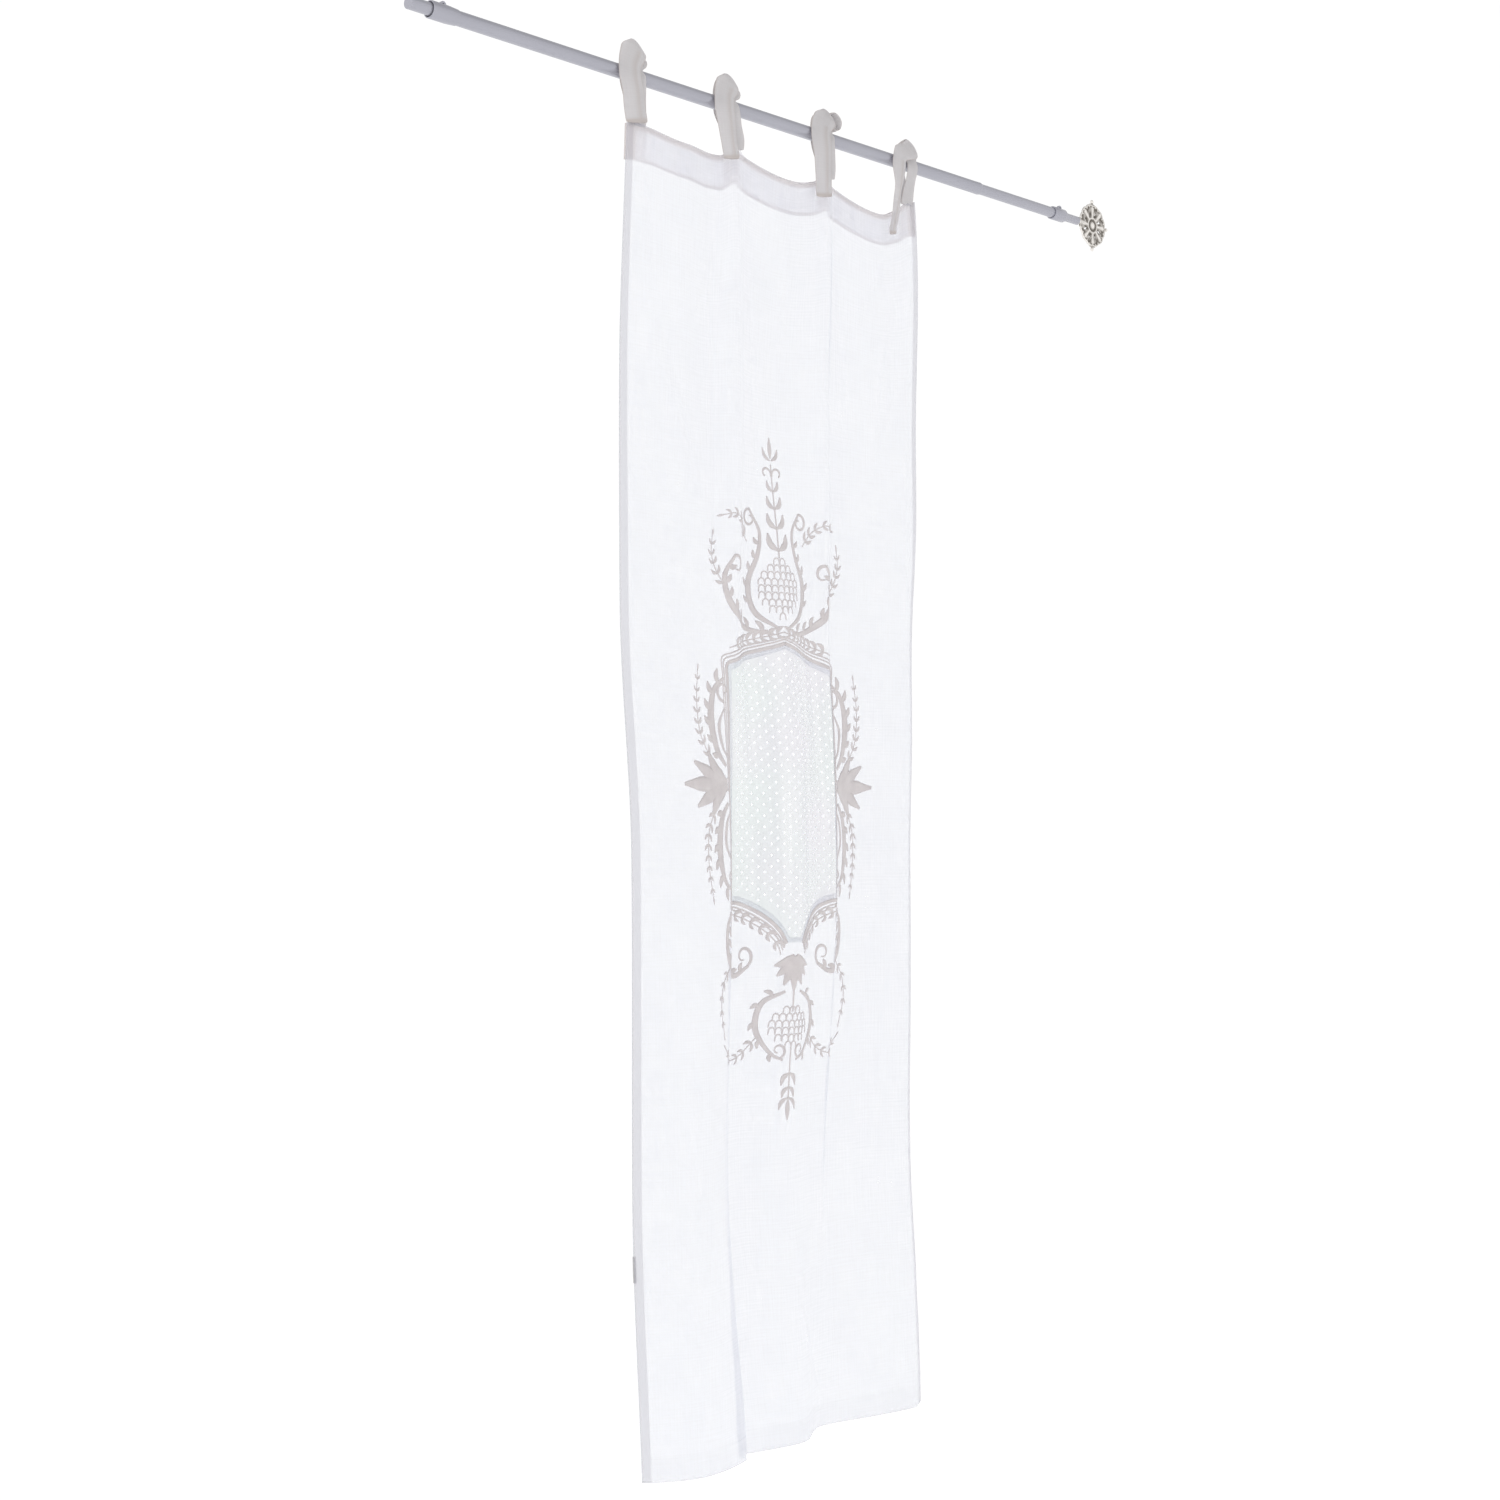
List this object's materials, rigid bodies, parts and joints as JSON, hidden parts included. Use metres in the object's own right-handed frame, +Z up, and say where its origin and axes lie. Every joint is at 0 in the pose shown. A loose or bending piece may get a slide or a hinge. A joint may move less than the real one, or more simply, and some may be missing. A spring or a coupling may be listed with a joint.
{
  "type": "tie-top linen curtain on a curtain rod",
  "caption": "Sheer linen curtain with an embroidered net window, hung by knotted ties from a telescopic rod with a pierced medallion finial.",
  "frame": {"origin": "on the rod's axis, above the middle of the cloth, where the wall brackets hold the rod", "axes": "+Z up, +X along the rod towards the finial, -Y towards the room"},
  "size_m": [1.9565, 0.0929, 2.5498],
  "materials": {
    "linen": "fine plain-weave linen, near white, lets light through",
    "linen_facing": "the same linen as a doubled heading",
    "linen_tie": "doubled linen strips, light warm grey against the light",
    "net": "fine dotted net",
    "label": "blank woven label",
    "rod_paint": "satin pale lilac-grey paint",
    "finial_silver": "antique silver, darkened in the recesses"
  },
  "bodies": {
    "root": {"linen_panel": "linen", "heading_facing": "linen_facing", "net_inset": "net", "care_label": "label", "tie_1_knot_strip": "linen_tie", "tie_1_tail_strip": "linen_tie", "tie_2_knot_strip": "linen_tie", "tie_2_tail_strip": "linen_tie", "tie_3_knot_strip": "linen_tie", "tie_3_tail_strip": "linen_tie", "tie_4_knot_strip": "linen_tie", "tie_4_tail_strip": "linen_tie", "rod_outer_tube": "rod_paint", "rod_left_tube": "rod_paint", "rod_right_tube": "rod_paint", "rod_left_collar": "rod_paint", "finial_socket": "rod_paint", "finial_medallion": "finial_silver"}
  },
  "joints": []
}
